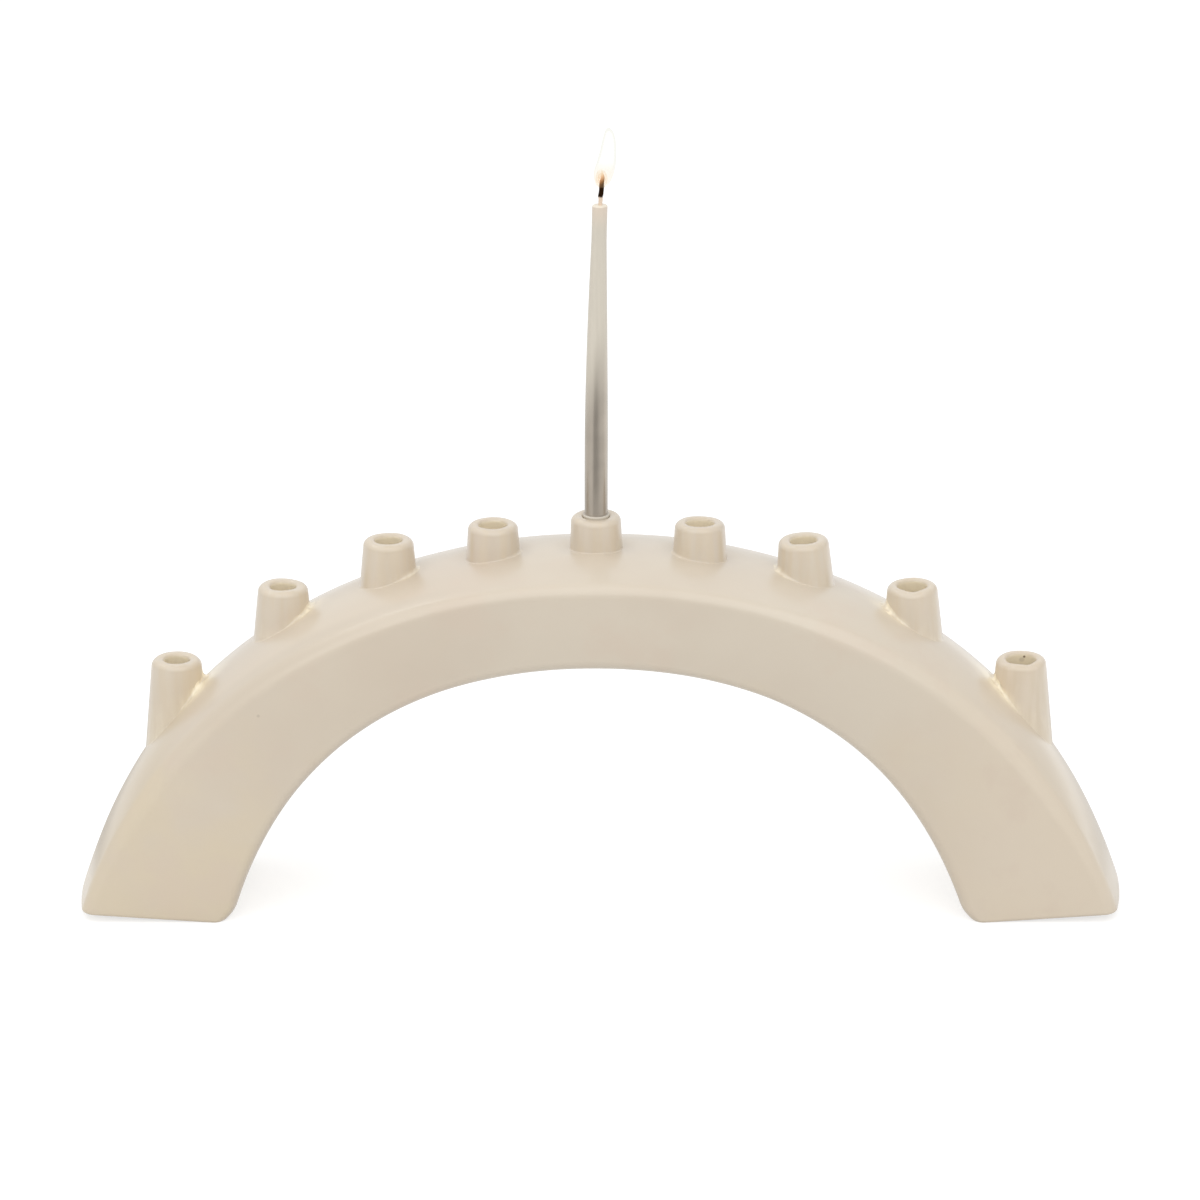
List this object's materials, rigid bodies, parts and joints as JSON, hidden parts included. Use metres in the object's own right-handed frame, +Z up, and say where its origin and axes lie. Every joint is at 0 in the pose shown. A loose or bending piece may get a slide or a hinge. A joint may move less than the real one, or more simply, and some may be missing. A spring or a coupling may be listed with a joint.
{
  "type": "arch menorah",
  "caption": "Glazed ceramic arch menorah: a hollow arch on splayed feet, tapered candle cups along its crest, and a lit taper candle that lifts out of the middle cup.",
  "frame": {"origin": "on the floor, under the middle of the arch and half way through its depth", "axes": "+X to the right along the arch, +Z up, and the front faces -Y"},
  "size_m": [0.4576, 0.072, 0.3261],
  "materials": {
    "cream_glaze": "satin-gloss cream glaze over white clay",
    "dipped_wax": "white candle wax, dipped in satin silver on its lower half",
    "charred_wick": "braided cotton, charred where it has burnt",
    "flame": "a glowing candle flame, drawn in the scene only"
  },
  "bodies": {
    "menorah": {"arch_body": "cream_glaze", "cup_left_4": "cream_glaze", "cup_left_3": "cream_glaze", "cup_left_2": "cream_glaze", "cup_left_1": "cream_glaze", "shamash_cup": "cream_glaze", "cup_right_1": "cream_glaze", "cup_right_2": "cream_glaze", "cup_right_3": "cream_glaze", "cup_right_4": "cream_glaze"},
    "candle": {"candle": "dipped_wax", "wick": "charred_wick"}
  },
  "joints": [
    {"name": "candle_lift", "type": "slide", "parent": "menorah", "child": "candle", "axis": [0, 0, 1], "range_m": [0, 0.03]}
  ]
}
